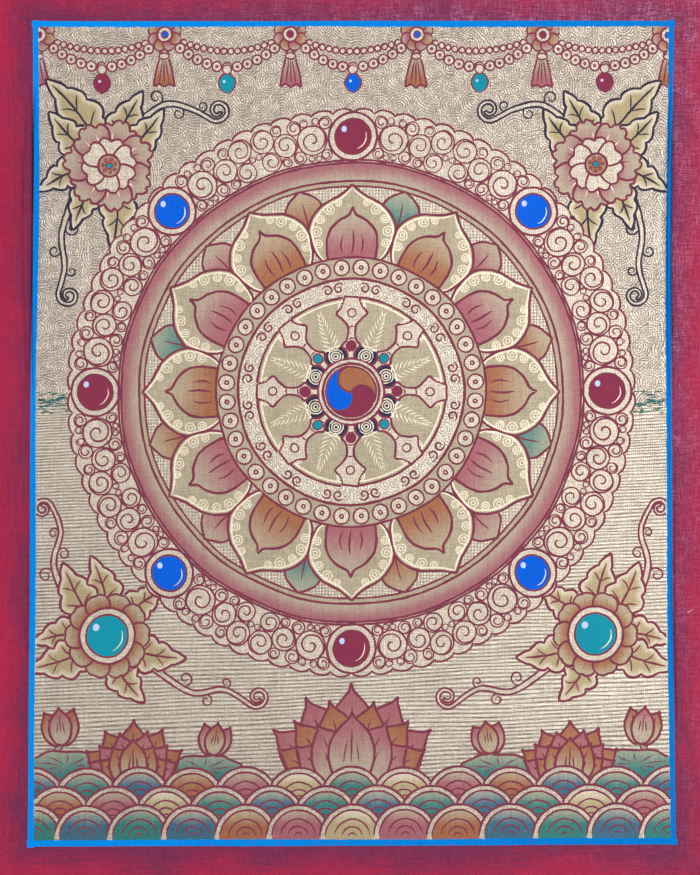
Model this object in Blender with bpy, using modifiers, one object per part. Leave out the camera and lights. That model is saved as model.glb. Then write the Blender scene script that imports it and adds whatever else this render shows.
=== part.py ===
"""The painted cloth of a small hanging scroll painting: one primed cotton sheet, held up at its top edge.

The frame is in metres, with +Z up. The painted face looks along -Y, and the origin is the middle of the top edge.
The sheet keeps some of the curl it takes when it is rolled up, face inwards, so its top and its foot stand forward
of its middle.
"""

import math

import bmesh
import bpy

MM = 0.001

# The blue line round the picture, outer edge to outer edge, and the red margin outside it.
PICTURE_WIDTH = 192.6 * MM
PICTURE_HEIGHT = 246.6 * MM
SIDE_MARGIN = 18 * MM
TOP_MARGIN = 18 * MM
FOOT_MARGIN = 20 * MM

CLOTH_WIDTH = PICTURE_WIDTH + 2 * SIDE_MARGIN
CLOTH_HEIGHT = TOP_MARGIN + PICTURE_HEIGHT + FOOT_MARGIN
CLOTH_THICKNESS = 1.2 * MM
FACET = 7.5 * MM

# How the cloth hangs, from its top edge down to its foot. drop is the share of its height, back is how far the cloth
# stands behind its top edge, and aside is how far the hand-cut sheet wanders to its right.
HANG = (
    {"drop": 0.00, "back": 0.0 * MM, "aside": 0.00 * MM},
    {"drop": 0.07, "back": 1.9 * MM, "aside": 0.10 * MM},
    {"drop": 0.22, "back": 6.9 * MM, "aside": -0.20 * MM},
    {"drop": 0.50, "back": 6.3 * MM, "aside": -0.75 * MM},
    {"drop": 0.72, "back": 5.4 * MM, "aside": -0.55 * MM},
    {"drop": 0.93, "back": 1.8 * MM, "aside": -0.45 * MM},
    {"drop": 1.00, "back": 0.2 * MM, "aside": -0.40 * MM},
)

# The margins are a little slacker than the picture, so each side edge ripples.
RIPPLE_DEPTH = 0.55 * MM
RIPPLE_LENGTH = 92 * MM
RIPPLE_START = {"left": 0.6, "right": 2.5}
# The foot was cut slightly out of square: its left end hangs lower.
FOOT_SLANT = 0.9 * MM

CANVAS_COLOUR = (0.49, 0.42, 0.29, 1.0)
CANVAS_ROUGHNESS = 0.55
CANVAS_METALLIC = 0.2


def along_hang(drop, column):
    """The value of one column of HANG at a share of the cloth's height, on a smooth curve through the rows."""
    last = len(HANG) - 2
    row = next((i for i in range(last) if drop < HANG[i + 1]["drop"]), last)
    before, start, end, after = (HANG[min(max(i, 0), last + 1)] for i in range(row - 1, row + 3))
    span = end["drop"] - start["drop"]
    share = (drop - start["drop"]) / span
    slope_in = (end[column] - before[column]) / (end["drop"] - before["drop"])
    slope_out = (after[column] - start[column]) / (after["drop"] - start["drop"])
    return (
        (2 * share**3 - 3 * share**2 + 1) * start[column]
        + (share**3 - 2 * share**2 + share) * span * slope_in
        + (3 * share**2 - 2 * share**3) * end[column]
        + (share**3 - share**2) * span * slope_out
    )


def hung(across, drop):
    """Where a point of the flat cloth hangs. across runs from -1 at its left edge to 1 at its right edge."""
    side = "left" if across < 0 else "right"
    height = -drop * CLOTH_HEIGHT
    swing = math.sin(math.tau * height / RIPPLE_LENGTH + RIPPLE_START[side])
    # The ripple fades at the held edge, and is felt only near the side.
    ripple = RIPPLE_DEPTH * swing * across**4 * min(1.0, 4 * drop)
    return (
        across * CLOTH_WIDTH / 2 + along_hang(drop, "aside"),
        along_hang(drop, "back") + ripple,
        height + FOOT_SLANT * across / 2 * drop,
    )


def canvas_material():
    """Painted and primed cotton."""
    material = bpy.data.materials.new("painted_canvas")
    material.use_nodes = True
    shader = material.node_tree.nodes["Principled BSDF"]
    shader.inputs["Base Color"].default_value = CANVAS_COLOUR
    shader.inputs["Roughness"].default_value = CANVAS_ROUGHNESS
    shader.inputs["Metallic"].default_value = CANVAS_METALLIC
    return material


def painted_canvas(collection):
    """The cloth: a flat grid, hung by moving its points, and thickened to both sides."""
    columns = round(CLOTH_WIDTH / FACET)
    rows = round(CLOTH_HEIGHT / FACET)
    mesh = bpy.data.meshes.new("painted_canvas")
    grid = bmesh.new()
    bmesh.ops.create_grid(grid, x_segments=columns, y_segments=rows, size=1)
    for point in grid.verts:
        across, up = point.co.x, point.co.y
        point.co = hung(across, (1 - up) / 2)
    grid.to_mesh(mesh)
    grid.free()
    mesh.materials.append(canvas_material())
    mesh.shade_smooth()
    canvas = bpy.data.objects.new("painted_canvas", mesh)
    collection.objects.link(canvas)
    thickness = canvas.modifiers.new("thickness", "SOLIDIFY")
    thickness.thickness = CLOTH_THICKNESS
    thickness.offset = 0
    thickness.use_even_offset = True
    return canvas


def main():
    for old in list(bpy.data.objects):
        bpy.data.objects.remove(old, do_unlink=True)
    collection = bpy.data.collections.new("scroll_painting")
    bpy.context.scene.collection.children.link(collection)
    painted_canvas(collection)


main()
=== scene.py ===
import math
import random

import bpy
import numpy as np
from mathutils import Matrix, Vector
from mathutils.geometry import delaunay_2d_cdt


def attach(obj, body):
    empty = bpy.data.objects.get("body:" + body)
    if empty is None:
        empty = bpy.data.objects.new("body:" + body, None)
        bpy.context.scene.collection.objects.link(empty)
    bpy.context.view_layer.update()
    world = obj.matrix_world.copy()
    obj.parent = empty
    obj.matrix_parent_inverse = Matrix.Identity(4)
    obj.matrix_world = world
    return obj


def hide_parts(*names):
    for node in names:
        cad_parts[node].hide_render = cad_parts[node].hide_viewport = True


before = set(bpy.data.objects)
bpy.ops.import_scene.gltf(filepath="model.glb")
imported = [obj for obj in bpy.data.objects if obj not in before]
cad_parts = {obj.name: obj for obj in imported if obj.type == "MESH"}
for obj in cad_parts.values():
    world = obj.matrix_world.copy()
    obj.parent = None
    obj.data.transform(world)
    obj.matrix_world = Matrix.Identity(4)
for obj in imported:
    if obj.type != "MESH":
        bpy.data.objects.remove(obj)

random.seed(11)
mm = 0.001
fullTurn = math.tau
quarterTurn = math.pi / 2
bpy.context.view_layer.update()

# The cloth as the solid has it, in mm. The flat cloth is measured from the middle of its picture, x to the
# right and y up, and hung() says where each point of it hangs.
cloth = {
    "pictureWidth": 192.6,
    "pictureHeight": 246.6,
    "sideMargin": 18.0,
    "topMargin": 18.0,
    "footMargin": 20.0,
    "solidThickness": 1.2,
    "thickness": 0.9,
    "drop": (0.00, 0.07, 0.22, 0.50, 0.72, 0.93, 1.00),
    "back": (0.0, 1.9, 6.9, 6.3, 5.4, 1.8, 0.2),
    "aside": (0.00, 0.10, -0.20, -0.75, -0.55, -0.45, -0.40),
    "rippleDepth": 0.55,
    "rippleLength": 92.0,
    "rippleStart": (0.6, 2.5),    # at the left edge and at the right edge
    "footSlant": 0.9,
    "gridStep": 5.0,
    "edgeRound": 0.16,
}
clothWidth = cloth["pictureWidth"] + 2 * cloth["sideMargin"]
clothHeight = cloth["topMargin"] + cloth["pictureHeight"] + cloth["footMargin"]
clothTop = cloth["pictureHeight"] / 2 + cloth["topMargin"]
clothFoot = clothTop - clothHeight
halfPicture = (cloth["pictureWidth"] / 2, cloth["pictureHeight"] / 2)


def alongHang(drop, column):
    rows, values = np.array(cloth["drop"]), np.array(cloth[column])
    last = len(rows) - 1
    row = np.clip(np.searchsorted(rows, drop, side="right") - 1, 0, last - 1)
    before, after = np.maximum(row - 1, 0), np.minimum(row + 2, last)
    span = rows[row + 1] - rows[row]
    share = (drop - rows[row]) / span
    slopeIn = (values[row + 1] - values[before]) / (rows[row + 1] - rows[before])
    slopeOut = (values[after] - values[row]) / (rows[after] - rows[row])
    return (
        (2 * share**3 - 3 * share**2 + 1) * values[row]
        + (share**3 - 2 * share**2 + share) * span * slopeIn
        + (3 * share**2 - 2 * share**3) * values[row + 1]
        + (share**3 - share**2) * span * slopeOut
    )


# Where a point of the flat cloth hangs, in metres, in the middle of the solid's thickness.
def hung(x, y):
    across = x / (clothWidth / 2)
    drop = np.clip((clothTop - y) / clothHeight, 0, 1)
    start = np.where(across < 0, *cloth["rippleStart"])
    swing = np.sin(start - fullTurn * drop * clothHeight / cloth["rippleLength"])
    ripple = cloth["rippleDepth"] * swing * across**4 * np.minimum(1, 4 * drop)
    return mm * np.stack([
        x + alongHang(drop, "aside"),
        alongHang(drop, "back") + ripple,
        y - clothTop + cloth["footSlant"] * across / 2 * drop,
    ], axis=-1)


# The way the painted face looks, at each point of the flat cloth.
def facing(x, y):
    step = 0.5
    inside = np.clip(y, clothFoot + step, clothTop - step)
    right = hung(x + step, inside) - hung(x - step, inside)
    up = hung(x, inside + step) - hung(x, inside - step)
    normal = np.cross(right, up)
    return normal / np.linalg.norm(normal, axis=-1, keepdims=True)


# The picture is kept as what the brush does, in its order: zones of paint, and strokes of ink over them.
zones, strokes = [], []


def fill(outline, paint, wash=None, ruled=False):
    zones.append({"outline": outline, "paint": paint, "wash": wash, "ruled": ruled, "over": len(strokes)})


def stroke(points, ink="maroon", width=1.0, taper=1.0, closed=False):
    strokes.append({"points": points, "ink": ink, "width": width, "closed": closed, "taper": taper})


def rim(points, ink="maroon", width=1.0):
    stroke(points + points[:1], ink, width, closed=True)


def shape(outline, paint, ink="maroon", wash=None, width=1.0):
    fill(outline, paint, wash)
    rim(outline, ink, width)


def vein(place, points, ink="maroon", width=1.0):
    stroke(place(smooth(points)), ink, width)


# Puts a motif's own points into the picture: turned, sized, moved, and on the left side mirrored. Where the
# motif is part of a larger one, within is the larger one's placer.
def placer(x, y, turn=0.0, size=1.0, side=1, within=None):
    c, s = math.cos(turn) * size, math.sin(turn) * size

    def place(points):
        moved = [(side * (x + u * c - v * s), y + u * s + v * c) for u, v in points]
        return within(moved) if within else moved

    return place


def polar(r, turn, x=0.0, y=0.0, tall=1.0):
    return x + r * math.cos(turn), y + tall * r * math.sin(turn)


# How far round each of a ring of motifs stands.
def turnsOf(count, shift=0.0):
    return [fullTurn * (number + shift) / count for number in range(count)]


def arcPieces(r, turn, fewest):
    return max(fewest, round(turn * r / min(0.6, 0.28 + 0.03 * r)))


def ring(r, x=0.0, y=0.0, tall=1.0):
    return [polar(r, turn, x, y, tall) for turn in turnsOf(arcPieces(r, fullTurn, 12))]


def arc(r, start, end, x=0.0, y=0.0):
    pieces = arcPieces(r, abs(end - start), 4)
    return [polar(r, start + (end - start) * i / pieces, x, y) for i in range(pieces + 1)]


# A smooth line through given points.
def smooth(points, step=0.5):
    last = len(points) - 1
    line = []
    for i in range(last):
        a, b, c, d = points[max(i - 1, 0)], points[i], points[i + 1], points[min(i + 2, last)]
        pieces = max(1, math.ceil(math.dist(b, c) / step))
        for k in range(pieces):
            t = k / pieces
            line.append(tuple(
                0.5 * (2 * b[n] + (c[n] - a[n]) * t + (2 * a[n] - 5 * b[n] + 4 * c[n] - d[n]) * t**2
                       + (3 * b[n] - a[n] - 3 * c[n] + d[n]) * t**3)
                for n in (0, 1)
            ))
    return line + [points[-1]]


# A closed outline whose right half is drawn from foot to tip, with both ends kept sharp.
def twin(half):
    right = smooth(half)
    left = [(-u, v) for u, v in reversed(right)]
    return right[:-1] + left[:-1] if abs(half[-1][0]) < 1e-6 else right + left


# A curl that follows its rim for the held share of its turns, then winds inwards.
def curl(r, turns=1.8, start=0.0, way=1, inner=0.17, held=0.0):
    count = max(14, round(turns * fullTurn * r * 0.6 / 0.36))
    line = []
    for i in range(count + 1):
        wound = max(0.0, (i / count - held) / (1 - held))
        line.append(polar(r * (1 - (1 - inner) * wound**0.92), start + way * turns * fullTurn * i / count))
    return line


# Both edges of a ribbon along a line, whose half width is given at each share of its length.
def ribbon(line, halfWidth):
    points = np.array(line)
    way = np.gradient(points, axis=0)
    way /= np.linalg.norm(way, axis=1, keepdims=True)
    half = np.array([halfWidth(i / (len(points) - 1)) for i in range(len(points))])[:, None]
    side = np.stack([-way[:, 1], way[:, 0]], axis=1) * half
    return [tuple(p) for p in points + side], [tuple(p) for p in points - side]


# The three kinds of wash: from one place to another, round a centre, and strongest in the middle of its zone.
def between(place, full, none):
    (ax, ay), (bx, by) = place([full, none])
    return "line", ax, ay, bx, by


def around(centre, full, none):
    return "ring", *centre, full, none


def fromEdge(depth):
    return "edge", depth, 0, 0, 0


# The wheel of flowers in the middle, from its rim inwards.
wheel = {
    "centre": (0.0, 12.0),
    "band": (70.0, 84.0),
    "bumps": 84,
    "bumpHeight": 1.3,
    "jewels": 8,
    "jewelRadius": 5.3,
    "jewelRim": 1.9,
    "curlSizes": (4.4, 3.52, 4.092, 2.904, 3.828),
    "smallestCurl": 0.95,
    "rosyRing": (63.8, 69.2),
    "petals": 12,
    "petalFoot": 39.5,
    "budFoot": 46.0,
    "budPaints": ("orangeWash", "pinkWash", "tealWash"),
    "pearls": 40,
    "pearlRing": 37.4,
    "pearlRadius": 2.35,
    "felloe": (28.4, 34.0),
    "felloeCurl": 1.75,
    "spokes": 8,
    "spokeHalf": ((1.5, 8.4), (1.0, 11.0), (1.5, 12.6), (2.7, 14.0), (1.5, 15.6), (1.0, 17.6), (1.3, 20.0),
                  (3.0, 22.0), (4.6, 23.6), (3.2, 25.6), (2.2, 28.6)),
    "rayLeaves": 9,
    "night": 14.3,
    "hub": 8.6,
    "hubMarks": 20,
    "hubPaints": ("jewelBlue", "jewelMaroon", "orangeWash"),
}


# Fills half of the space between two jewels with touching circles, the largest that fit each time.
def packCurls():
    inner, outer = (r + gap for r, gap in zip(wheel["band"], (0.5, -0.4)))
    half = math.pi / wheel["jewels"]
    turns, radii = np.meshgrid(np.linspace(0, half, 130), np.linspace(inner, outer, 56))
    x, y = radii * np.cos(turns), radii * np.sin(turns)
    middle = sum(wheel["band"]) / 2
    room = np.minimum.reduce([
        radii - inner, outer - radii, radii * np.sin(turns), radii * np.sin(half - turns),
        np.hypot(x - middle, y) - wheel["jewelRadius"] - wheel["jewelRim"] - 0.4,
    ])
    sizes = wheel["curlSizes"]
    found = []
    while room.max() > wheel["smallestCurl"]:
        at = np.unravel_index(room.argmax(), room.shape)
        r = min(room[at], sizes[len(found) % len(sizes)])
        near = np.argwhere(room >= r - 1e-6)
        at = tuple(near[np.argmin([turns[tuple(n)] * 40 + abs(radii[tuple(n)] - middle) for n in near])])
        found.append((x[at], y[at], r))
        room = np.minimum(room, np.hypot(x - x[at], y - y[at]) - r - 0.12)
    return found


def scrollBand():
    cx, cy = wheel["centre"]
    inner, outer = wheel["band"]
    bumps, jewels = wheel["bumps"], wheel["jewels"]
    edge = []
    for turn in turnsOf(bumps * 14):
        edge.append(polar(outer + wheel["bumpHeight"] * abs(math.sin(bumps * turn / 2)) ** 0.6, turn, cx, cy))
    shape(edge, "goldPale", width=0.85)
    curls = packCurls()
    for sector in range(2 * jewels):
        way = 1 if sector % 2 else -1
        place = placer(cx, cy, fullTurn * ((sector + 1) // 2) / jewels)
        for number, (x, y, r) in enumerate(curls):
            start = math.atan2(y, x) + 2.4 * number + 0.5 * random.random()
            if r > 1.3:
                wound = curl(r, 1.75 + 0.2 * r, start, 1 if number % 3 else -1, 0.5 / r, 0.44)
            else:
                wound = curl(r, 1.35, start, 1, 0.42, 0.5)
            stroke(place([(x + u, way * (y + v)) for u, v in wound]), width=0.5 + 0.06 * r, taper=0.4)
    for number, turn in enumerate(turnsOf(jewels)):
        centre = polar((inner + outer) / 2, turn, cx, cy)
        jewel(centre, wheel["jewelRadius"], wheel["jewelRim"], "jewelBlue" if number % 2 else "jewelMaroon")
    rim(ring(inner, cx, cy))
    print(f"scroll band: {len(curls) * 2 * jewels} curls")


# A round cabochon in a pale rim, with a painted light on it.
def jewel(centre, r, rimWidth, paint):
    x, y = centre
    shape(ring(r + rimWidth, x, y), "goldPale")
    shape(ring(r, x, y), paint, width=0.8)
    fill(ring(r * 0.15, x - r * 0.52, y + r * 0.42, 1.15), "highlight")
    stroke(arc(r * 0.74, -1.25, 0.35, x, y), "pale", 0.45)


lotusPetal = {
    "edge": ((0, 0), (8.6, 0.2), (12.1, 5.5), (12.9, 11.0), (9.6, 16.6), (3.6, 20.3), (0, 23.4)),
    "tongue": ((0, -1), (6.2, -0.6), (7.5, 4.2), (6.9, 9.0), (4.2, 12.4), (1.1, 14.2), (0, 16.6)),
    "bud": ((0, 0), (3.2, 3.5), (5.6, 8.5), (4.6, 13.0), (0, 16.4)),
    "beads": ((10.4, 5.5, 1.15), (11.0, 9.2, 1.45), (10.0, 13.0, 1.15), (7.4, 16.2, 1.45), (4.5, 18.4, 1.0)),
    "unlike": 0.012,      # how much the petals differ in size
}


def petalRing():
    cx, cy = wheel["centre"]
    inner, outer = wheel["rosyRing"]
    shape(ring(outer, cx, cy), "haloWash", wash=around((cx, cy), outer, inner - 0.6))
    shape(ring(inner, cx, cy), "khaki")
    shape(ring(inner - 1.6, cx, cy), "goldTicks", width=0.8)
    for number, turn in enumerate(turnsOf(wheel["petals"], 0.5)):
        place = placer(*polar(wheel["budFoot"], turn - quarterTurn, cx, cy), turn - math.pi)
        paint = wheel["budPaints"][number % 3]
        shape(place(twin(lotusPetal["bud"])), paint, wash=between(place, (0, 4), (0, 17)))
        vein(place, [(0, 5), (0.25, 9), (0, 12.5)], width=0.7)
    for number, turn in enumerate(turnsOf(wheel["petals"])):
        size = 1 + random.uniform(-lotusPetal["unlike"], lotusPetal["unlike"])
        place = placer(*polar(wheel["petalFoot"], turn - quarterTurn, cx, cy), turn - math.pi, size)
        shape(place(twin(lotusPetal["edge"])), "khaki", width=1.05)
        inset = [(u * 0.93, v * 0.955) for u, v in smooth(lotusPetal["edge"])[8:]]
        for way in (1, -1):
            stroke(place([(way * u, v) for u, v in inset]), "pale", 0.8)
            for u, v, r in lotusPetal["beads"]:
                for share in (1, 0.45):
                    rim(place(ring(r * share, way * u * 0.97, v * 0.97)), "pale", 0.5)
        paint = "orangeWash" if number % 2 else "pinkWash"
        shape(place(twin(lotusPetal["tongue"])), paint, wash=between(place, (0, 0), (0, 15.5)), width=1.1)
        vein(place, [(0, 2), (0.5, 5.5), (0.2, 9.5)], width=0.9)
        for way in (1, -1):
            vein(place, [(way * 2.6, 2.2), (way * 3.3, 5), (way * 2.7, 8)], width=0.75)
    print(f"lotus petals: {wheel['petals']}")


def pearlsAndFelloe():
    cx, cy = wheel["centre"]
    inner, outer = wheel["felloe"]
    shape(ring(wheel["petalFoot"] + 1.0, cx, cy), "khaki")
    for turn in turnsOf(wheel["pearls"], 0.5):
        x, y = polar(wheel["pearlRing"], turn, cx, cy)
        shape(ring(wheel["pearlRadius"], x, y), "goldPale", width=0.75)
        rim(ring(0.55, x, y), width=0.75)
    shape(ring(outer, cx, cy), "goldSwirls", width=1.15)
    r = wheel["felloeCurl"]
    for turn in turnsOf(wheel["spokes"], 0.5):
        for offset in (-0.21, 0.21):
            place = placer(*polar((inner + outer) / 2, turn + offset, cx, cy), turn + offset - quarterTurn)
            for way in (1, -1):
                wound = curl(r, 1.35, quarterTurn - way * 1.2, way)
                stroke(place([(way * r + u, v) for u, v in wound]), width=0.8)
    shape(ring(inner, cx, cy), "khaki")
    rim(ring(inner - 1.1, cx, cy), "pale", 0.8)
    fill(ring(wheel["night"], cx, cy), "night")
    rim(ring(wheel["night"], cx, cy), "pale", 0.7)


def raysAndSpokes():
    for turn in turnsOf(wheel["spokes"], 0.5):
        place = placer(*wheel["centre"], turn - quarterTurn)
        for level in range(wheel["rayLeaves"]):         # a burnished ray, as leaves on a stalk
            v = 13.2 + 1.35 * level
            reach = 3.0 - 0.30 * level
            for way in (1, -1):
                leafVein = [(way * 0.2, v), (way * reach * 0.6, v + 0.9), (way * reach, v + 2.1)]
                stroke(place(leafVein), "pale", 0.55)
        for r in (2.1, 1.35, 0.65):
            rim(place(ring(r, 0, 11.6)), "pale", 0.5)
            for way in (1, -1):
                rim(place(ring(r * 0.8, way * 7.4, 24.4)), "pale", 0.5)
    for number, turn in enumerate(turnsOf(wheel["spokes"])):
        place = placer(*wheel["centre"], turn - quarterTurn)
        shape(place(twin(wheel["spokeHalf"])), "goldPale", width=0.95)
        for v in (12.2, 15.9, 19.4):
            stroke(place([(-1.3, v), (0, v + 0.35), (1.3, v)]), width=0.7)
        shape(place(ring(1.45, 0, 14.0)), "jewelTeal" if number % 2 else "jewelMaroon", width=0.6)
        rim(place(ring(1.25, 0, 23.7)), width=0.65)


def hub():
    cx, cy = wheel["centre"]
    outer = wheel["hub"]
    shape(ring(outer + 1.5, cx, cy), "goldPale")
    for turn in turnsOf(wheel["hubMarks"]):
        stroke([polar(outer, turn, cx, cy), polar(outer + 1.4, turn + 0.1, cx, cy)], width=0.5)
    shape(ring(outer, cx, cy), "goldPale", width=1.1)
    r = outer - 0.9
    paints = wheel["hubPaints"]
    for start, paint in zip(turnsOf(len(paints)), paints):
        start += quarterTurn
        end = start + fullTurn / len(paints)
        first = arc(r / 2, start + math.pi, start, *polar(r / 2, start))
        last = arc(r / 2, end, end + math.pi, *polar(r / 2, end))
        shape(placer(cx, cy)(first + arc(r, start, end)[1:-1] + last[:-1]), paint, width=0.8)
    print(f"wheel: {wheel['spokes']} spokes, {wheel['pearls']} pearls")


# The flowers and leaves that fill the corners. Places are for the right side, and the left mirrors them.
corners = {
    "upper": {
        "at": (73.5, 80.5),
        "ink": "navy",
        "leafFoot": 5,
        "leaves": (          # turn from upright, length, half width, bend
            (-0.42, 31, 6.2, 7), (0.30, 24, 5.2, -3), (-1.02, 24, 5.0, -4), (0.98, 23, 4.8, 5),
            (-1.66, 22, 4.8, 6), (2.82, 25, 5.2, -7), (-2.42, 22, 4.6, 5),
        ),
        "tendrils": (        # the size of the last curl, and the stem
            (3.4, ((66, 92), (57, 98.5), (49, 97.5), (42.5, 94))),
            (3.2, ((84, 72), (87.5, 60), (86.5, 50), (88.5, 42))),
        ),
    },
    "lower": {
        "at": (73.0, -61.0),
        "ink": "maroon",
        "leafFoot": 6,
        "leaves": (
            (0.0, 24, 5.2, 5), (-0.75, 25, 5.6, -5), (-1.45, 22, 5.0, 5), (-2.2, 25, 5.6, -6),
            (2.9, 22, 5.0, 6), (2.1, 24, 5.2, 6), (0.72, 22, 4.6, -4),
        ),
        "tendrils": (
            (2.8, ((85, -52), (89, -40), (87, -30), (90, -22))),
            (3.2, ((60, -70), (48, -78), (38, -77), (30, -82))),
        ),
    },
    "leafLobes": 4,
    "leafWash": 2.6,
    "stemHalf": 0.95,
    "sideCurls": ((0.2, -1, 2.4), (0.33, 1, 2.0), (0.45, -1, 1.7)),      # share of the stem, side, size
}


# A leaf of pointed lobes along a bent rib, dark in its middle and pale at its edge.
def leaf(place, length, half, bend, ink):
    lobes = corners["leafLobes"]
    rib = smooth([(bend * t**1.7, length * t) for t in (0, 0.2, 0.4, 0.6, 0.8, 1.0)])

    def lobed(t):
        body = half * 1.12 * math.sin(math.pi * t**0.7) ** 0.9 * (1 - 0.3 * t**3)
        return body * (0.7 + 0.3 * abs(math.sin(math.pi * lobes * t**1.12)) ** 0.55) + 0.02

    left, right = ribbon(rib, lobed)
    shape(place(left + right[::-1][1:-1]), "khakiWash", ink, wash=fromEdge(corners["leafWash"]), width=1.1)
    stroke(place(rib[3:-6]), ink, 0.95, taper=1.5)
    for number in range(lobes - 1):
        share = ((number + 0.42) / lobes) ** (1 / 1.12)
        at = round(len(rib) * max(share - 0.13, 0.05))
        to = min(len(rib) - 1, round(len(rib) * share))
        for edge in (left, right):
            tip = tuple(0.3 * a + 0.7 * b for a, b in zip(rib[to], edge[to]))
            bow = tuple((a + b) / 2 + d for a, b, d in zip(rib[at], tip, (0, 0.5)))
            vein(place, [rib[at], bow, tip], ink, 0.7)


flowers = {
    "outerPetal": ((0, 3.0), (3.4, 4.6), (5.4, 7.8), (5.5, 10.6), (4.2, 11.9), (2.9, 11.5), (2.3, 12.9),
                   (0.9, 13.8), (0, 12.9)),
    "innerPetal": ((0, 1.0), (2.4, 2.6), (3.7, 5.4), (3.1, 7.6), (1.5, 8.0), (0, 7.2)),
    "gemPetal": ((0, 6), (2.4, 7.0), (3.7, 9.0), (3.1, 11.4), (1.3, 12.6), (0, 12.4)),
    "gem": (6.3, 2.0),        # radius, and the width of its rim
}


def blossom(place):
    for turn in turnsOf(7):
        whole = placer(0, 0, turn + 0.2, within=place)
        shape(whole(twin(flowers["outerPetal"])), "pinkWash", wash=between(whole, (0, 4), (0, 12.5)))
        for u in (-1.5, 0, 1.5):
            stroke(whole([(u * 0.5, 5.5), (u, 8.0), (u * 1.3, 10.0)]), "pale" if u else "maroon", 0.55)
    for turn in turnsOf(6):
        whole = placer(0, 0, turn, within=place)
        shape(whole(twin(flowers["innerPetal"])), "goldPale", width=0.9)
        stroke(whole([(0, 3.6), (0, 5.6)]), width=0.5)
    shape(place(ring(3.3)), "orangeWash", wash=around(place([(0, 0)])[0], 0.6, 4.2))
    for turn in turnsOf(7):
        rim(place(ring(0.42, *polar(2.0, turn))), width=0.5)
    shape(place(ring(0.95)), "jewelTeal", width=0.6)


def gemFlower(place):
    for turn in turnsOf(10):
        whole = placer(0, 0, turn + 0.31, within=place)
        wash = between(whole, (0, 7.5), (0, 12))
        shape(whole(twin(flowers["gemPetal"])), "orangeWash", wash=wash, width=0.9)
        stroke(whole([(0, 9.2), (0.2, 11.0)]), width=0.6)
    jewel(place([(0, 0)])[0], *flowers["gem"], "jewelTeal")


# A double-lined stem that ends in a curl, with small curls beside it.
def tendril(place, points, ink, curlSize):

    def curlFrom(point, ahead, side, size, gap, turns, inner):
        heading = math.atan2(ahead[1] - point[1], ahead[0] - point[0])
        x, y = polar(side * size * gap, heading + quarterTurn, *point)
        wound = curl(size, turns, heading - side * quarterTurn, side, inner)
        return [(x + u, y + v) for u, v in wound]

    line = smooth(points)
    (ax, ay), (bx, by) = line[-2], line[-1]
    ahead = (2 * bx - ax, 2 * by - ay)
    line += curlFrom(line[-1], ahead, -1, curlSize, 1, 1.25, 0.3)[1:]
    for share, side, size in corners["sideCurls"]:
        at = round(share * len(line))
        stroke(place(curlFrom(line[at], line[at + 1], side, size, 1.25, 1.3, 0.22)), ink, 0.75)
    left, right = ribbon(line, lambda t: corners["stemHalf"] * (1 - 0.55 * t))
    shape(place(left + right[::-1]), "goldPale", ink, width=0.85)


def cornerFlower(name, side):
    corner = corners[name]
    for curlSize, stem in corner["tendrils"]:
        tendril(placer(0, 0, side=side), stem, corner["ink"], curlSize)
    foot = corner["leafFoot"]
    for turn, length, half, bend in corner["leaves"]:
        whole = placer(*corner["at"], turn, side=side)
        leaf(placer(0, foot, within=whole), length - foot, half, bend, corner["ink"])
    if name == "upper":
        blossom(placer(*corner["at"], 0.12, side=side))
    else:
        gemFlower(placer(*corner["at"], side=side))


swags = {
    "top": 119.2,
    "count": 5,
    "inFromEdge": 1.6,
    "drop": 9.5,
    "pearlRadius": 1.45,
    "rows": ((0.5, 0.62), (1, 1)),      # shares of the drop and of the pearls' radius
    "paints": ("jewelMaroon", "jewelTeal", "jewelBlue", "jewelTeal", "jewelMaroon"),
    "gem": ((0, -5.6), (1.7, -4.4), (2.5, -2.4), (1.8, -0.6), (0, 0.9)),
    "tassel": ((0, -4.4), (1.1, -5.2), (1.5, -7.2), (2.6, -11.5), (3.1, -15.2), (1.6, -14.6), (0, -15.6)),
}


def pearlRow(left, wide, drop, r):
    line = [(left + wide * t / 60, swags["top"] - drop * 4 * (t / 60) * (1 - t / 60)) for t in range(61)]
    run = [0.0]
    for a, b in zip(line, line[1:]):
        run.append(run[-1] + math.dist(a, b))
    beads = round(run[-1] / (2 * r + 0.25))
    for k in range(1, beads):
        x, y = (float(np.interp(run[-1] * k / beads, run, [p[n] for p in line])) for n in (0, 1))
        shape(ring(r, x, y), "goldPale", width=0.7)
        if r > 1:
            rim(ring(0.3, x, y), width=0.6)


def pearlSwags():
    wide = halfPicture[0] - swags["inFromEdge"]
    count, top, drop = swags["count"], swags["top"], swags["drop"]
    step = 2 * wide / count
    for number in range(count):
        left = -wide + number * step
        for dropShare, share in swags["rows"]:
            pearlRow(left, step, drop * dropShare, swags["pearlRadius"] * share)
        place = placer(left + step / 2, top - drop - 2.2)
        shape(place(twin(swags["gem"])), swags["paints"][number], width=0.75)
        fill(place(ring(0.42, -0.8, -1.9)), "highlight")
        shape(place(ring(1.35, 0, 1.6)), "goldPale", width=0.6)
    for number in range(count + 1):
        x = -wide + number * step
        for k, turn in enumerate(turnsOf(8, 0.5)):
            petal = ring(1.75, *polar(3.3, turn, x, top))
            shape(petal, "orangeWash" if k % 2 else "pinkWash", width=0.7, wash=around((x, top), 2.0, 5.4))
        shape(ring(2.2, x, top), "goldPale", width=0.8)
        shape(ring(1.0, x, top), "jewelBlue" if number % 2 else "jewelMaroon", width=0.55)
        place = placer(x, top)
        paint = "orangeWash" if number % 2 else "pinkWash"
        shape(place(twin(swags["tassel"])), paint, wash=between(place, (0, -15), (0, -7)), width=0.85)
        for k in (-1, 0, 1):
            vein(place, [(k * 0.5, -7.6), (k * 1.0, -11), (k * 1.5, -14.4)], width=0.65)
        shape(place(ring(1.5, 0, -6.4, 0.6)), "goldPale", width=0.7)
    print(f"pearl swags: {count}")


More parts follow.
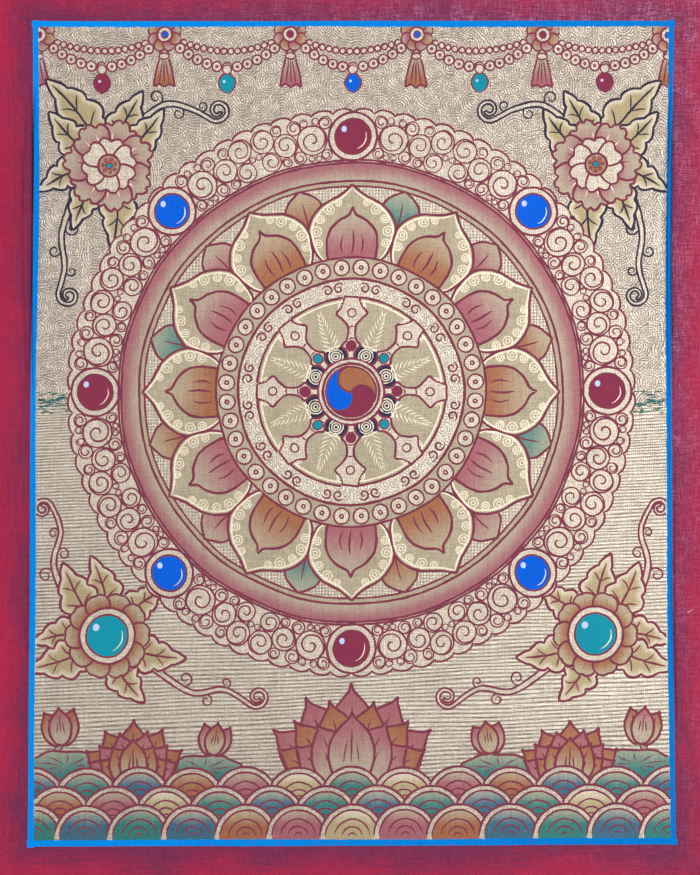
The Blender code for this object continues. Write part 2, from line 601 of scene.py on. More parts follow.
# An open lotus: its petals in three rows, the back row first. A petal has full sides and a drawn-out tip,
# which its bow carries aside.
lotus = {
    "petalSide": ((0, 0), (0.5, 0.06), (0.86, 0.22), (1, 0.42), (0.96, 0.57), (0.8, 0.7), (0.53, 0.815),
                  (0.26, 0.9), (0.09, 0.955), (0, 1.03)),
    "rows": (
        {"turns": (1.02, -1.02, 0.52, -0.52, 0.0), "length": 31.5, "half": 8.2, "paint": 0},
        {"turns": (1.2, -1.2, 0.78, -0.78, 0.28, -0.28), "length": 27.5, "half": 7.0, "paint": 1},
        {"turns": (1.04, -1.04, 0.55, -0.55, 0.0), "length": 22.8, "half": 6.9, "paint": 0},
    ),
    "unlike": 0.015,
    "bow": 2.4,
}


def lilyPetal(place, length, half, paint, bow=0.0):
    side = [(half * u, length * v) for u, v in lotus["petalSide"]]
    outline = [(u + bow * (v / length) ** 2.4, v) for u, v in twin(side)]
    shape(place(outline), paint, wash=between(place, (0, length), (0, length * 0.2)), width=1.05)
    for u in (-0.45, 0, 0.45):
        line = [(half * u * (1.1 - v) + bow * v**2.4, length * v) for v in (0.34, 0.5, 0.62 if u else 0.8)]
        vein(place, line, width=0.65)


def lily(x, y, size, paints, side=1):
    for row in lotus["rows"]:
        for turn in row["turns"]:
            unlike = random.uniform(-lotus["unlike"], lotus["unlike"])
            length = row["length"] * (1 - 0.08 * abs(turn)) * (1 + unlike)
            place = placer(x, y, turn, size, side)
            lilyPetal(place, length, row["half"], paints[row["paint"]], lotus["bow"] * turn)


pond = {
    "rows": ((-109.6, 0.0), (-115.1, 0.5), (-120.6, 0.0)),     # height, share of a step aside
    "step": 15.8,
    "radius": 9.4,
    "innerShare": 0.83,
    "ripples": ((0.66, 0.7), (0.38, 0.7), (0.15, 0.65)),       # share of the inner radius, width of the line
    "paints": ("tealWash", "blueWash", "khakiWash", "tealWash", "pinkWash", "blueWash", "orangeWash"),
    "stems": (((88, -110), (90, -101), (86.5, -93)), ((40, -110), (43, -102), (41.5, -96))),
    "leaves": ((85, -99.5, 4.4), (44, -100.5, 4.0)),           # place, half height
    "leafWide": 11,
    "buds": (        # place, lean, size, outer and inner petals
        (86.3, -93.5, -0.12, 0.5, "orangeWash", "pinkWash"),
        (41.5, -96.5, 0.15, 0.44, "pinkWash", "orangeWash"),
    ),
    "sideLily": (65, -105.5, 0.6, ("orangeWash", "pinkWash")),
    "middleLily": (0, -106.5, 0.98, ("pinkWash", "orangeWash")),
}


def lilyLeaf(x, y, tall, side):
    place = placer(x, y, side=side)
    wide = pond["leafWide"]
    edge = []
    for turn in turnsOf(72):
        r = 1 + 0.055 * math.sin(7 * turn)
        edge.append((wide * r * math.cos(turn), tall * r * math.sin(turn)))
    shape(place(edge), "tealWash", wash=between(place, (0, -tall), (0, tall * 1.5)))
    for turn in turnsOf(9, 0.3):
        line = []
        for share, bend in ((0.14, 0), (0.5, 0.07), (0.84, 0)):
            line.append((wide * share * math.cos(turn + bend), tall * share * math.sin(turn + bend)))
        stroke(place(line), width=0.6)


def wave(x, y, paint):
    outer = pond["radius"]
    inner = outer * pond["innerShare"]
    wash = ("line", x, y + inner * 0.35, x, y + inner * 1.05)
    for r, colour, wash, width in ((outer, "goldPale", None, 1.0), (inner, paint, wash, 0.8)):
        crest = arc(r, 0, math.pi, x, y)
        fill(crest + [(x - r, y - 4), (x + r, y - 4)], colour, wash)
        stroke(crest, width=width)
    for share, width in pond["ripples"]:
        stroke(arc(inner * share, 0.1, math.pi - 0.1, x, y), width=width)


def lotusPond():
    for side in (1, -1):
        stem = placer(0, 0, side=side)
        for points in pond["stems"]:
            left, right = ribbon(smooth(points), lambda t: 0.8)
            shape(stem(left + right[::-1]), "tealWash", width=0.7, wash=between(stem, (0, -130), (0, -80)))
        for x, y, tall in pond["leaves"]:
            lilyLeaf(x, y, tall, side)
        for x, y, lean, size, outside, inside in pond["buds"]:
            whole = placer(x, y, lean, size, side)
            for turn in (-0.42, 0.42, 0.0):
                lilyPetal(placer(0, 0, turn, within=whole), 22, 6.8, outside if turn else inside)
        lily(*pond["sideLily"], side)
    lily(*pond["middleLily"])
    wide = halfPicture[0]
    count = math.ceil(wide / pond["step"]) + 1
    for number, (height, shift) in enumerate(pond["rows"]):
        for k in range(-count, count + 1):
            x = (k + shift) * pond["step"]
            if abs(x) <= wide + 6:
                wave(x, height, pond["paints"][(abs(k) * 2 + number) % len(pond["paints"])])
    print("lotus pond painted")


ground = {
    "horizon": 8.0,
    "grassFrom": 84.5,
    "grassHeight": 6.5,
    "blades": 56,
}


def goldGround():
    wide, high = (half + 1 for half in halfPicture)
    horizon = ground["horizon"]
    edge = [(x, horizon + 0.5 * math.sin(x / 9)) for x in np.linspace(wide, -wide, 60)]
    fill([(-wide, -high), (wide, -high)] + edge, "goldRows")
    fill([(wide, high), (-wide, high)] + edge[::-1], "goldRings")
    for side in (1, -1):
        for number in range(ground["blades"]):
            x = side * random.uniform(ground["grassFrom"], wide - 1)
            lift = ground["grassHeight"] * random.uniform(-0.5, 0.5) * (0.4 + 0.6 * (number % 2))
            y = horizon + 0.6 + lift
            run, bend = random.uniform(0.7, 1.6), random.uniform(-0.25, 0.35)
            blade = [(x - run, y), (x, y + 0.15), (x + run, y + bend)]
            stroke(blade, "teal", random.uniform(0.45, 0.75), taper=0.5)


# The blue line is four pulls of the brush that cross at the corners, drawn last.
blueLine = {
    "widths": (1.71, 1.6, 1.86, 1.68),      # at the top, right, foot and left
    "pastCorner": 0.35,
    "ragged": 0.16,
    "step": 0.7,
    "flecks": 70,
    "scratch": (97.5, -55.5),
}


# The red goes a little under the blue line. What these zones leave of the face, at its very edge, is red too.
def redMargin():
    wide, high = (half - 0.7 for half in halfPicture)
    far, top, foot = clothWidth / 2 - 2, clothTop - 2, clothFoot + 2
    for left, low, right, up in (
        (wide, foot, far, top), (-wide, foot, -far, top), (-wide - 1, high, wide + 1, top),
        (-wide - 1, foot, wide + 1, -high),
    ):
        fill([(left, low), (right, low), (right, up), (left, up)], "redMargin")


def blueBorder():
    wide, high = halfPicture
    sides = (((-wide, high), (1, 0), 2 * wide), ((wide, high), (0, -1), 2 * high),
             ((wide, -high), (-1, 0), 2 * wide), ((-wide, -high), (0, 1), 2 * high))
    past = blueLine["pastCorner"]
    for number, ((x, y), (ux, uy), length) in enumerate(sides):
        outer, inner = [], []
        for s in np.arange(-past, length + past, blueLine["step"]):
            slow = 0.07 * math.sin(s / 31 + number) + 0.03 * math.sin(s / 9.1 + 2 * number)
            rough = blueLine["ragged"] * random.uniform(-0.5, 1.0)
            inside = blueLine["widths"][number] + 0.1 * math.sin(s / 17 + 3 * number) + rough
            outer.append((x + ux * s + uy * slow, y + uy * s - ux * slow))
            inner.append((x + ux * s + uy * inside, y + uy * s - ux * inside))
        fill(outer + inner[::-1], "blueLine", ruled=True)
    for number in range(blueLine["flecks"]):
        x = random.triangular(-wide, wide, -20)
        y = -high + random.uniform(0.2, 1.5)
        run = random.uniform(0.2, 1.3)
        stroke([(x, y), (x + run, y + random.uniform(-0.2, 0.2))], "red", random.uniform(0.3, 0.75))
    x, y = blueLine["scratch"]
    stroke([(x + 0.4 * k, y + 0.012 * k**2) for k in range(14)], "pale", 0.22)
    print("blue line painted")


def paintPicture():
    goldGround()
    pearlSwags()
    for side in (1, -1):
        cornerFlower("upper", side)
        cornerFlower("lower", side)
    scrollBand()
    petalRing()
    pearlsAndFelloe()
    raysAndSpokes()
    hub()
    lotusPond()
    redMargin()
    blueBorder()
    print(f"picture: {len(zones)} zones, {len(strokes)} strokes")


# A steady hand still wavers a little, and zones and strokes waver alike.
handWaver = {"slow": 0.16, "quick": 0.04}


def byHand(x, y):
    slow, quick = handWaver["slow"], handWaver["quick"]
    return (
        x + slow * np.sin(0.21 * y + 1.4 * np.sin(0.11 * x + 0.4)) + quick * np.sin(1.5 * y + 0.9 * x),
        y + slow * np.sin(0.19 * x + 1.2 * np.sin(0.13 * y + 2.1)) + quick * np.sin(1.6 * x - 1.1 * y),
    )


def insideOf(outline, x, y):
    ax, ay = np.array(outline).T
    bx, by = np.roll(ax, -1), np.roll(ay, -1)
    crosses = (ay > y[:, None]) != (by > y[:, None])
    with np.errstate(divide="ignore", invalid="ignore"):
        at = (bx - ax) * (y[:, None] - ay) / (by - ay) + ax
    return (crosses & (x[:, None] < at)).sum(axis=1) % 2 == 1


def runAlong(x, y):
    return np.concatenate([[0], np.cumsum(np.hypot(np.diff(x), np.diff(y)))])


# Keeps the points of a line that it needs: close together in a bend or at an end, further apart elsewhere.
def sparser(x, y, closed, bend=0.22, apart=1.5):
    run = runAlong(x, y)
    heading = np.unwrap(np.arctan2(np.diff(y), np.diff(x)))
    turned = np.concatenate([[0, 0], np.cumsum(np.abs(np.diff(heading)))])
    keep = np.floor(turned / bend)[1:] != np.floor(turned / bend)[:-1]
    keep |= np.floor(run / apart)[1:] != np.floor(run / apart)[:-1]
    keep = np.concatenate([[True], keep])
    if not closed:
        keep |= (run < 1.6) | (run > run[-1] - 1.6)
    keep[-1] = True
    return x[keep], y[keep]


# Cuts each stroke where paint laid later covers it.
def leaveShowing(shortest=0.9):
    sizes = [len(s["points"]) for s in strokes]
    x, y = np.array([p for s in strokes for p in s["points"]]).T
    owner = np.repeat(np.arange(len(strokes)), sizes)
    shown = np.ones(len(x), bool)
    for zone in zones:
        outline = np.array(zone["outline"])
        low, high = outline.min(axis=0), outline.max(axis=0)
        near = np.flatnonzero(
            shown & (owner < zone["over"]) & (x > low[0]) & (x < high[0]) & (y > low[1]) & (y < high[1])
        )
        if len(near):
            shown[near[insideOf(zone["outline"], x[near], y[near])]] = False
    kept, first = [], 0
    for s, size in zip(strokes, sizes):
        seen = shown[first:first + size]
        first += size
        edges = np.flatnonzero(np.diff(np.concatenate([[0], seen.astype(int), [0]])))
        for start, end in zip(edges[::2], edges[1::2]):
            points = s["points"][start:end]
            length = sum(math.dist(a, b) for a, b in zip(points, points[1:]))
            whole = end - start == size
            if len(points) > 1 and (whole or length > shortest):
                ends = {"closed": s["closed"] and whole, "cut": (start > 0, end < size)}
                kept.append({**s, "points": points, **ends})
    return kept


# How far points stand inside an outline, as a share of the wash's depth.
def insideBy(outline, x, y, depth):
    ax, ay = outline.T
    bx, by = np.roll(ax, -1), np.roll(ay, -1)
    along = (x[:, None] - ax) * (bx - ax) + (y[:, None] - ay) * (by - ay)
    along = (along / ((bx - ax) ** 2 + (by - ay) ** 2 + 1e-12)).clip(0, 1)
    apart = np.hypot(ax + along * (bx - ax) - x[:, None], ay + along * (by - ay) - y[:, None])
    return (apart.min(axis=1) / depth).clip(0, 1)


# Drops every second point of a long outline, but keeps its corners.
def thinned(outline):
    points = np.array(outline)
    if len(points) <= 40:
        return points
    ahead, behind = np.roll(points, -1, axis=0) - points, points - np.roll(points, 1, axis=0)
    turn = ahead[:, 0] * behind[:, 1] - ahead[:, 1] * behind[:, 0]
    straight = np.abs(turn) < 0.3 * np.linalg.norm(ahead, axis=1) * np.linalg.norm(behind, axis=1)
    return points[~(straight & (np.arange(len(points)) % 2 == 1))]


def clothEdge():
    half = clothWidth / 2
    ends = ((-half, clothFoot), (half, clothFoot), (half, clothTop), (-half, clothTop))
    line = []
    for (ax, ay), (bx, by) in zip(ends, ends[1:] + ends[:1]):
        pieces = round(math.dist((ax, ay), (bx, by)) / cloth["gridStep"])
        line += [(ax + (bx - ax) * k / pieces, ay + (by - ay) * k / pieces) for k in range(pieces)]
    return line


def clothGrid():
    step = cloth["gridStep"]
    across = np.arange(-clothWidth / 2 + step, clothWidth / 2 - step / 2, step)
    up = np.arange(clothFoot + step, clothTop - step / 2, step)
    return [(x, y) for x in across for y in up]


# Cuts the flat cloth into triangles along outlines: its points, its triangles, and each one's last outline.
def cut(points, outlines):
    flat, _, triangles, _, _, origins = delaunay_2d_cdt([Vector(p) for p in points], [], outlines, 1, 1e-5)
    return np.array(flat), np.array(triangles), np.array([max(origin) for origin in origins])


# The front of the cloth, cut along every edge of paint, so that each triangle has one topmost zone.
def cutFront():
    points = clothEdge()
    outlines = [list(range(len(points)))]
    washes = []
    for zone in zones:
        x, y = thinned(zone["outline"]).T
        if not zone["ruled"]:
            x, y = byHand(x, y)
        zone["drawn"] = np.stack([x, y], 1)
        if (x * np.roll(y, -1) - y * np.roll(x, -1)).sum() < 0:      # the cutter wants them all anticlockwise
            x, y = x[::-1], y[::-1]
        outlines.append(list(range(len(points), len(points) + len(x))))
        points += list(zip(x, y))
        if zone["wash"] and zone["wash"][0] == "edge":     # points inside, to carry the wash
            low, high = zone["drawn"].min(axis=0), zone["drawn"].max(axis=0)
            x, y = (grid.ravel() for grid in np.meshgrid(*(np.arange(a, b, 1.1) for a, b in zip(low, high))))
            inner = insideOf(zone["drawn"], x, y)
            washes += list(zip(x[inner], y[inner]))
    return cut(points + clothGrid() + washes, outlines)


# How strong the wash is at each corner of each triangle.
def washStrength(flat, triangles, top):
    kinds = ("line", "ring", "edge")
    terms = [[0.0] * 5]
    for zone in zones:
        kind, *numbers = zone["wash"] or ("line", 0, 0, 0, 0)
        terms.append([kinds.index(kind), *numbers])
    kind, *ends = np.array(terms)[top].T[..., None]
    at = flat[triangles]
    x, y = at[..., 0], at[..., 1]
    fullX, fullY, noneX, noneY = ends        # in a ring, the last two are its radii
    spanX, spanY = noneX - fullX, noneY - fullY
    span = spanX**2 + spanY**2
    line = 1 - ((x - fullX) * spanX + (y - fullY) * spanY) / np.where(span > 0, span, 1)
    reach = noneY - noneX
    radial = 1 - (np.hypot(x - fullX, y - fullY) - noneX) / np.where(np.abs(reach) > 0, reach, 1)
    wash = np.where(kind > 0.5, radial, line)
    for number in np.unique(top[kind[:, 0] > 1.5]):
        here = top == number
        zone = zones[number - 1]
        inside = insideBy(zone["drawn"], *at[here].reshape(-1, 2).T, zone["wash"][1])
        wash[here] = inside.reshape(-1, 3)
    outwards = np.maximum(
        (np.abs(x) - halfPicture[0]) / cloth["sideMargin"], (np.abs(y) - halfPicture[1]) / cloth["topMargin"]
    )
    red = np.array([True] + [zone["paint"] == "redMargin" for zone in zones])[top]
    return np.where(red[:, None], outwards, wash).clip(0, 1)


def paintedCloth(materials):
    flat, triangles, top = cutFront()
    x, y = flat.T
    face = facing(x, y)
    front = hung(x, y) + face * (cloth["solidThickness"] / 2 * mm)

    # The bare back, cut to the same edge, on a plain grid.
    rimCount = len(clothEdge())
    backFlat, backTriangles, _ = cut(list(flat[:rimCount]) + clothGrid(), [list(range(rimCount))])
    bx, by = backFlat.T
    backFace = facing(bx, by)
    back = hung(bx, by) + backFace * ((cloth["solidThickness"] / 2 - cloth["thickness"]) * mm)

    # The cut edge, slightly rounded.
    ex, ey = flat[:rimCount].T
    away = [ex / (clothWidth / 2), np.zeros(rimCount), (ey - (clothTop + clothFoot) / 2) / (clothHeight / 2)]
    away = np.stack(away, 1)
    away = np.where(np.abs(away) > 0.9999, np.sign(away), 0.0)
    away /= np.linalg.norm(away, axis=1, keepdims=True)
    bulge = (front[:rimCount] + back[:rimCount]) / 2 + away * (cloth["edgeRound"] * mm)
    backFirst = len(front)
    bulgeFirst = backFirst + len(back)
    sides = []
    for i in range(rimCount):
        j = (i + 1) % rimCount
        sides.append((i, bulgeFirst + i, bulgeFirst + j, j))
        sides.append((bulgeFirst + i, backFirst + i, backFirst + j, bulgeFirst + j))

    points = np.concatenate([front, back, bulge])
    normals = np.concatenate([face, -backFace, away])
    spots = np.concatenate([flatMap(x, y), backMap(bx, by), backMap(ex * 0.5, ey * 0.5)])
    faces = [tuple(t) for t in triangles] + [tuple(t[::-1] + backFirst) for t in backTriangles] + sides
    canvas = addPiece("paintedCloth", points, faces, normals, spots, materials)
    mesh = canvas.data
    slots = {paint: number for number, paint in enumerate(materials)}
    laid = np.array([slots["redMargin"]] + [slots[zone["paint"]] for zone in zones])
    looks = np.full(len(faces), slots["rawCotton"], np.int32)
    looks[:len(triangles)] = laid[top]
    mesh.polygons.foreach_set("material_index", looks)
    wash = np.zeros(len(mesh.loops), np.float32)
    wash[:3 * len(triangles)] = washStrength(flat, triangles, top).ravel()
    mesh.attributes.new("wash", "FLOAT", "CORNER").data.foreach_set("value", wash)
    print(f"painted cloth: {len(triangles)} triangles on its face, {len(faces)} faces in all")
    return canvas


# One flat map: the face at full size, and the back and the cut edge small beside it.
def flatMap(x, y):
    return np.stack([(x + clothWidth / 2) / clothHeight, (y - clothFoot) / clothHeight], 1)


def backMap(x, y):
    share = 0.18 / (clothWidth / clothHeight)
    return flatMap(x, y) * share + (0.815, 0.01)


def addPiece(name, points, faces, normals, spots, materials):
    mesh = bpy.data.meshes.new(name)
    mesh.from_pydata([tuple(p) for p in points], [], faces)
    for material in materials.values():
        mesh.materials.append(material)
    corner = np.zeros(len(mesh.loops), np.int32)
    mesh.loops.foreach_get("vertex_index", corner)
    mesh.uv_layers.new(name="OFBake").data.foreach_set("uv", spots[corner].astype(np.float32).ravel())
    mesh.shade_smooth()
    mesh.normals_split_custom_set_from_vertices([tuple(n) for n in normals])
    piece = bpy.data.objects.new(name, mesh)
    bpy.context.scene.collection.objects.link(piece)
    return piece


# Ink stands a hair above the cloth: each stroke is a low closed ridge along the surface.
brush = {
    "lineWidth": 1.08,      # mm at the ridge's sunken foot, for a stroke of width 1
    "rise": 0.06,
    "sunk": 0.03,
    "shoulder": 0.25,       # how far the ridge's edges turn away
    "pressure": 0.16,
    "tip": 2.2,
    "tipWidth": 0.18,
}


# Half the width of a stroke at each of its points: it swells with the hand, and tapers where it isn't cut.
def halfWidths(s, run):
    phase = random.uniform(0, fullTurn)
    swell = 1 + brush["pressure"] * np.sin(run / 3.7 + phase) * np.cos(run / 1.45 + 2 * phase)
    half = s["width"] * brush["lineWidth"] / 2 * swell
    if not s["closed"]:
        tip = min(brush["tip"] * s["taper"], run[-1] * 0.42)
        for cutHere, fromEnd in zip(s["cut"], (run, run[-1] - run)):
            if not cutHere:
                half *= brush["tipWidth"] + (1 - brush["tipWidth"]) * np.clip(fromEnd / tip, 0, 1) ** 0.6
    return half


def inkLines(name, drawn, material):
    points, normals, faces, flatAt = [], [], [], []
    surface = cloth["solidThickness"] / 2
    low, high = surface - brush["sunk"], surface + brush["rise"]
    for s in drawn:
        x, y = byHand(*np.array(s["points"]).T)
        keep = np.concatenate([[True], np.hypot(np.diff(x), np.diff(y)) > 0.02])
        x, y = sparser(x[keep], y[keep], s["closed"])
        count = len(x)
        if count < 2:
            continue
        ways = np.stack([np.gradient(x), np.gradient(y)], 1)
        if s["closed"]:
            ways[0] = ways[-1] = (x[1] - x[-2], y[1] - y[-2])
        ways /= np.linalg.norm(ways, axis=1, keepdims=True)
        half = halfWidths(s, runAlong(x, y))
        aside = np.stack([-ways[:, 1] * half, ways[:, 0] * half])
        face = facing(x, y)
        out = np.stack([aside[0], np.zeros(count), aside[1]], 1)
        out /= np.linalg.norm(out, axis=1, keepdims=True) + 1e-12
        first = len(points)
        ridge = []
        for side, height in ((1, low), (0, high), (-1, low)):
            at = (x + side * aside[0], y + side * aside[1])
            normal = face + side * brush["shoulder"] * out
            ridge.append((hung(*at) + face * (height * mm), normal, np.stack(at, 1)))
        for along, made in zip((points, normals, flatAt), zip(*ridge)):
            along += list(np.stack(made, 1).reshape(3 * count, -1))
        for i in range(count - 1):
            a, b = first + 3 * i, first + 3 * (i + 1)
            faces += [(a, a + 1, b + 1, b), (a + 1, a + 2, b + 2, b + 1), (a + 2, a, b, b + 2)]
        end = first + 3 * (count - 1)
        faces += [(first, first + 2, first + 1), (end, end + 1, end + 2)]
    normals = np.array(normals)
    normals /= np.linalg.norm(normals, axis=1, keepdims=True)
    print(f"{name}: {len(faces)} faces")
    return addPiece(name, points, faces, normals, flatMap(*np.array(flatAt).T), {name: material})


# Colours as they look in daylight, 0 to 255.
def pigment(red, green, blue):
    def linear(value):
        value /= 255
        return value / 12.92 if value <= 0.04045 else ((value + 0.055) / 1.055) ** 2.4
    return linear(red), linear(green), linear(blue), 1.0


# Short ways to write shader nodes: a value is a number, a colour or another node's socket.
def put(tree, kind, sockets=None, **settings):
    node = tree.nodes.new(kind)
    for name, value in settings.items():
        setattr(node, name, value)
    for name, value in (sockets or {}).items():
        if isinstance(value, bpy.types.NodeSocket):
            tree.links.new(value, node.inputs[name])
        else:
            node.inputs[name].default_value = value
    return node


def calc(tree, operation, *values, clamp=False):
    node = put(tree, "ShaderNodeMath", dict(enumerate(values)), operation=operation, use_clamp=clamp)
    return node.outputs[0]


def centred(tree, value):
    return calc(tree, "SUBTRACT", value, 0.5)


def rippled(tree, value, rate, operation="SINE"):
    return calc(tree, operation, calc(tree, "MULTIPLY", value, rate))


def blend(tree, share, first, second, mode="MIX"):
    sockets = {0: share, 6: first, 7: second}
    return put(tree, "ShaderNodeMix", sockets, data_type="RGBA", blend_type=mode).outputs[2]


def spread(tree, value, low, high, toLow=0.0, toHigh=1.0, kind="SMOOTHSTEP"):
    sockets = {"Value": value, "From Min": low, "From Max": high, "To Min": toLow, "To Max": toHigh}
    return put(tree, "ShaderNodeMapRange", sockets, interpolation_type=kind).outputs[0]


def sloping(tree, x, y, across, up):
    return calc(tree, "MULTIPLY_ADD", x, across, calc(tree, "MULTIPLY", y, up))


def noise(tree, places, scale, detail=2.0, roughness=0.5, out=0):
    sockets = {"Vector": places, "Scale": scale, "Detail": detail, "Roughness": roughness}
    return put(tree, "ShaderNodeTexNoise", sockets).outputs[out]


def stretched(tree, places, scale, start=0.0, detail=2.0, roughness=0.5):
    sockets = {"Vector": places, "Location": (start, start, 0), "Scale": scale}
    return noise(tree, put(tree, "ShaderNodeMapping", sockets).outputs[0], 1.0, detail, roughness)


# Moves a place by a slow noise, so that a pattern isn't ruled.
def loosened(tree, places, scale, amount, detail=1.0):
    moved = noise(tree, places, scale, detail, out="Color")
    moved = put(tree, "ShaderNodeVectorMath", {0: moved, 1: (0.5, 0.5, 0.5)}, operation="SUBTRACT").outputs[0]
    moved = put(tree, "ShaderNodeVectorMath", {0: moved, 3: amount}, operation="SCALE").outputs[0]
    return put(tree, "ShaderNodeVectorMath", {0: places, 1: moved}, operation="ADD").outputs[0]


# Every group takes places in mm on the flat cloth.
def newGroup(name, inputs, outputs):
    group = bpy.data.node_groups.new(name, "ShaderNodeTree")
    group.interface.new_socket("Places", in_out="INPUT", socket_type="NodeSocketVector")
    for socket, value in inputs.items():
        made = group.interface.new_socket(socket, in_out="INPUT", socket_type="NodeSocketFloat")
        made.default_value = value
    for socket in outputs:
        group.interface.new_socket(socket, in_out="OUTPUT", socket_type="NodeSocketFloat")
    return group, group.nodes.new("NodeGroupInput").outputs, group.nodes.new("NodeGroupOutput").inputs


weaveLook = {
    "pitch": 0.62,
    "face": {"unevenness": 0.5, "relief": 0.05},
    "back": {"unevenness": 0.9, "relief": 0.14},
}


# The cotton's threads: a plain weave with uneven yarn. Show says how far they shade the paint.
def weaveGroup():
    inputs = {"Pitch": weaveLook["pitch"], "Unevenness": 0.5, "Show": 0.1}
    group, given, out = newGroup("cottonWeave", inputs, ("Height", "Crowns", "Slubs", "Grain", "Shade"))
    places = given["Places"]
    parts = put(group, "ShaderNodeSeparateXYZ", {0: loosened(group, places, 0.22, 1.6, 2.0)}).outputs
    rate = calc(group, "DIVIDE", fullTurn, given["Pitch"])
    warp, weft = (rippled(group, part, rate, "COSINE") for part in parts[:2])
    cells = calc(group, "MULTIPLY_ADD", calc(group, "ADD", warp, weft), 0.25, 0.5)
    upright = stretched(group, places, (1.7, 0.24, 1.0), 0.0, 3.0, 0.7)
    level = stretched(group, places, (0.24, 1.7, 1.0), 7.0, 3.0, 0.7)
    grain = noise(group, places, 2.4)
    yarn = calc(group, "MULTIPLY", calc(group, "ADD", upright, level), 0.33)
    yarn = calc(group, "MULTIPLY_ADD", grain, 0.34, yarn)
    uneven = calc(group, "MULTIPLY", given["Unevenness"], 4.0)
    height = calc(group, "MULTIPLY_ADD", centred(group, yarn), uneven, cells)
    crowns = spread(group, height, 0.5, 0.95)
    slubs = spread(group, yarn, 0.38, 0.62, kind="LINEAR")
    grain = spread(group, grain, 0.3, 0.7, kind="LINEAR")
    double = calc(group, "MULTIPLY", given["Show"], 2.0)
    shade = calc(group, "MULTIPLY_ADD", centred(group, slubs), double, 1.0)
    shade = calc(group, "MULTIPLY_ADD", centred(group, crowns), given["Show"], shade)
    made = {"Height": height, "Crowns": crowns, "Slubs": slubs, "Grain": grain, "Shade": shade}
    for name, value in made.items():
        group.links.new(value, out[name])
    return group


# Gold polished with an agate point: rings round many small middles, inside wide arches whose edges meet in
# points.
def ringsGroup():
    inputs = {"Ring Size": 5.7, "Arch Size": 25.0, "Arch Edge": 1.5, "Pitch": 0.74}
    group, given, out = newGroup("burnishedRings", inputs, ("Polish",))
    moved = loosened(group, given["Places"], 0.45, 1.1)
    rate = calc(group, "DIVIDE", fullTurn, given["Pitch"])

    def cells(size, loose, feature="F1"):
        sockets = {"Vector": moved, "Scale": calc(group, "DIVIDE", 1.0, given[size]), "Randomness": loose}
        made = put(group, "ShaderNodeTexVoronoi", sockets, voronoi_dimensions="2D", feature=feature)
        return calc(group, "MULTIPLY", made.outputs["Distance"], given[size])

    near = cells("Arch Size", 0.34)
    rings, arches = rippled(group, cells("Ring Size", 0.62), rate), rippled(group, near, rate)
    gap = calc(group, "MULTIPLY", calc(group, "SUBTRACT", cells("Arch Size", 0.34, "F2"), near), 0.5)
    inArch = calc(group, "LESS_THAN", gap, given["Arch Edge"])
    lines = put(group, "ShaderNodeMix", {0: inArch, 2: rings, 3: arches}).outputs[0]
    # A thin groove, a wider ring.
    group.links.new(spread(group, lines, -1.0, 0.5, kind="LINEAR"), out["Polish"])
    return group


# Gold polished in level rows by hand, wider towards the foot.
def rowsGroup():
    inputs = {"Top Pitch": 0.86, "Foot Pitch": 1.36, "Top": 10.0, "Foot": -122.0, "Tilt": 0.038}
    group, given, out = newGroup("burnishedRows", inputs, ("Polish",))
    places = given["Places"]
    parts = put(group, "ShaderNodeSeparateXYZ", {0: places}).outputs
    y = calc(group, "SUBTRACT", parts[1], calc(group, "MULTIPLY", parts[0], given["Tilt"]))
    for scale, start, amount in (
        ((0.02, 0.09, 1.0), 0.0, 2.6),      # a slow sway
        ((0.16, 0.9, 1.0), 3.0, 0.5),       # a quick waver
    ):
        moved = stretched(group, places, scale, start, 1.0)
        y = calc(group, "MULTIPLY_ADD", centred(group, moved), amount, y)
    # The pitch widens evenly from top to foot, so the count of rows so far is a logarithm.
    widening = calc(group, "SUBTRACT", given["Foot Pitch"], given["Top Pitch"])
    slope = calc(group, "DIVIDE", widening, calc(group, "SUBTRACT", given["Top"], given["Foot"]))
    height = calc(group, "SUBTRACT", given["Top"], y)
    pitch = calc(group, "MAXIMUM", calc(group, "MULTIPLY_ADD", height, slope, given["Top Pitch"]), 0.5)
    rows = calc(group, "DIVIDE", calc(group, "LOGARITHM", pitch, math.e), slope)
    lines = rippled(group, rows, fullTurn)
    # A thin groove, a wider row.
    group.links.new(spread(group, lines, -1.0, 0.55, kind="LINEAR"), out["Polish"])
    return group


# Gold polished in small crossed strokes.
def ticksGroup():
    group, given, out = newGroup("burnishedTicks", {"Pitch": 0.95}, ("Polish",))
    x, y = put(group, "ShaderNodeSeparateXYZ", {0: loosened(group, given["Places"], 0.8, 0.6)}).outputs[:2]
    rate = calc(group, "DIVIDE", math.pi, given["Pitch"])
    one, two = (rippled(group, calc(group, way, x, y), rate) for way in ("ADD", "SUBTRACT"))
    group.links.new(calc(group, "MULTIPLY_ADD", calc(group, "MULTIPLY", one, two), 0.5, 0.5), out["Polish"])
    return group


polishLook = {
    "handScale": 0.3,
    "press": (0.3, 0.68, 0.12, 1.2),
    "middle": 0.55,
    "relief": 0.13,
    "gloss": 0.16,
}


# The hand presses the agate harder in some places than in others.
def pressGroup():
    group, given, out = newGroup("handPress", {"Polish": 0.5}, ("Pressed",))
    press = noise(group, given["Places"], polishLook["handScale"], 4.0, 0.7)
    press = spread(group, press, *polishLook["press"], "LINEAR")
    group.links.new(calc(group, "MULTIPLY", centred(group, given["Polish"]), press), out["Pressed"])
    return group


# How far the gold is painted lighter and darker, as the lamp falls.
paintedGoldLight = {
    "slope": (0.6, 0.55),
    "alongSlope": (-115.0, 60.0, -0.13, 0.06),
    "top": (45.0, 120.0, 0.0, 0.08),
    "foot": (-106.0, -84.0, 0.11, 0.0),
    "grain": 0.24,
    "grainAndFootShadeFrom": 0.2,       # gold with more metal than this is darker at the foot, and grainy
}
